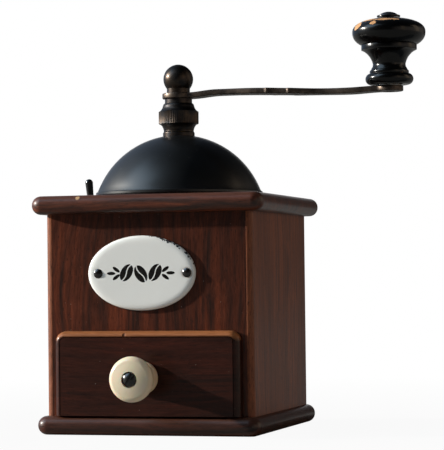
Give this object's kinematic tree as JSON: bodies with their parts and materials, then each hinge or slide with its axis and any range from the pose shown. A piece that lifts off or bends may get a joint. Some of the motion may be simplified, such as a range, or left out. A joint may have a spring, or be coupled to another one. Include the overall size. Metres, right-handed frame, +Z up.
{
  "type": "hand crank coffee grinder",
  "caption": "Square wooden box coffee mill with a domed metal bean cover, a drawer for the ground coffee and a level hand crank with a turned wooden handle.",
  "frame": {"origin": "on the spindle's axis, in the plane of the base board's underside", "axes": "+Z up along the spindle; -Y out of the front, the way the drawer opens; +X to the right of a viewer in front, towards the crank's handle at rest"},
  "size_m": [0.2047, 0.1521, 0.2265],
  "materials": {
    "stained_wood": "dark red-brown stain under a thin satin varnish, pores showing",
    "raw_wood": "plain unfinished beech",
    "black_lacquer_wood": "gloss black lacquer, chipped to bare wood on the crown",
    "black_enamel": "semi-gloss black enamel with fine dust specks",
    "blackened_steel": "burnished dark steel, worn brighter on its edges",
    "bright_steel": "plain turned steel",
    "cast_iron": "dark unpainted casting",
    "brass": "dull turned brass",
    "white_enamel": "glossy vitreous enamel on sheet steel, chipped at the rim, with a black ornament",
    "ivory_porcelain": "cream glaze, browned with age",
    "black_gloss": "smooth glossy black"
  },
  "bodies": {
    "housing": {"base_board": "stained_wood", "left_side": "stained_wood", "right_side": "stained_wood", "front_panel": "stained_wood", "back_panel": "stained_wood", "top_board": "stained_wood", "base_screws": "bright_steel", "drawer_guides": "raw_wood", "name_plate": "white_enamel", "name_plate_pins": "blackened_steel", "mill_casting": "cast_iron", "casting_screws": "bright_steel", "outer_burr": "cast_iron", "lower_bearing_bar": "cast_iron", "bearing_bar_screws": "bright_steel", "bearing_bridge": "bright_steel", "bridge_screws": "bright_steel", "spindle_bush": "brass", "dome_cover": "black_enamel", "dome_ring_nut": "blackened_steel"},
    "shutter": {"dome_shutter": "black_enamel", "shutter_tab": "blackened_steel", "shutter_knob": "black_gloss"},
    "lock_washer": {"keyed_washer": "blackened_steel"},
    "grind_nut": {"adjusting_nut": "blackened_steel"},
    "crank": {"spindle": "bright_steel", "inner_burr": "cast_iron", "burr_pin": "bright_steel", "spring_seat": "bright_steel", "lift_spring": "bright_steel", "crank_washer": "blackened_steel", "crank_arm": "blackened_steel", "ball_nut": "blackened_steel", "handle_screw": "black_gloss", "handle_washer": "bright_steel"},
    "handle": {"crank_handle": "black_lacquer_wood"},
    "drawer": {"drawer_front": "stained_wood", "drawer_left_side": "raw_wood", "drawer_right_side": "raw_wood", "drawer_back": "raw_wood", "drawer_bottom": "raw_wood", "drawer_knob": "ivory_porcelain", "drawer_knob_screw": "black_gloss", "drawer_nails": "bright_steel"}
  },
  "joints": [
    {"name": "drawer_slide", "type": "slide", "parent": "housing", "child": "drawer", "axis": [0, -1, 0], "range_m": [0, 0.09]},
    {"name": "shutter_turn", "type": "hinge", "parent": "housing", "child": "shutter", "pos_m": [0, 0, 0.128], "axis": [0, 0, 1], "range_deg": [0, 105]},
    {"name": "crank_turn", "type": "hinge", "parent": "housing", "child": "lock_washer", "pos_m": [0, 0, 0.165], "axis": [0, 0, -1], "continuous": true},
    {"name": "nut_turn", "type": "hinge", "parent": "lock_washer", "child": "grind_nut", "pos_m": [0, 0, 0.172], "axis": [0, 0, -1], "range_deg": [0, 451]},
    {"name": "burr_lift", "type": "slide", "parent": "lock_washer", "child": "crank", "axis": [0, 0, 1], "range_m": [0, 0.00125], "deforming": ["lift_spring"]},
    {"name": "handle_spin", "type": "hinge", "parent": "crank", "child": "handle", "pos_m": [0.12, 0, 0.19], "axis": [0, 0, 1], "continuous": true}
  ],
  "couplings": [
    {"joint": "nut_turn", "follows": "burr_lift", "rad_per_m": 6283.2}
  ]
}
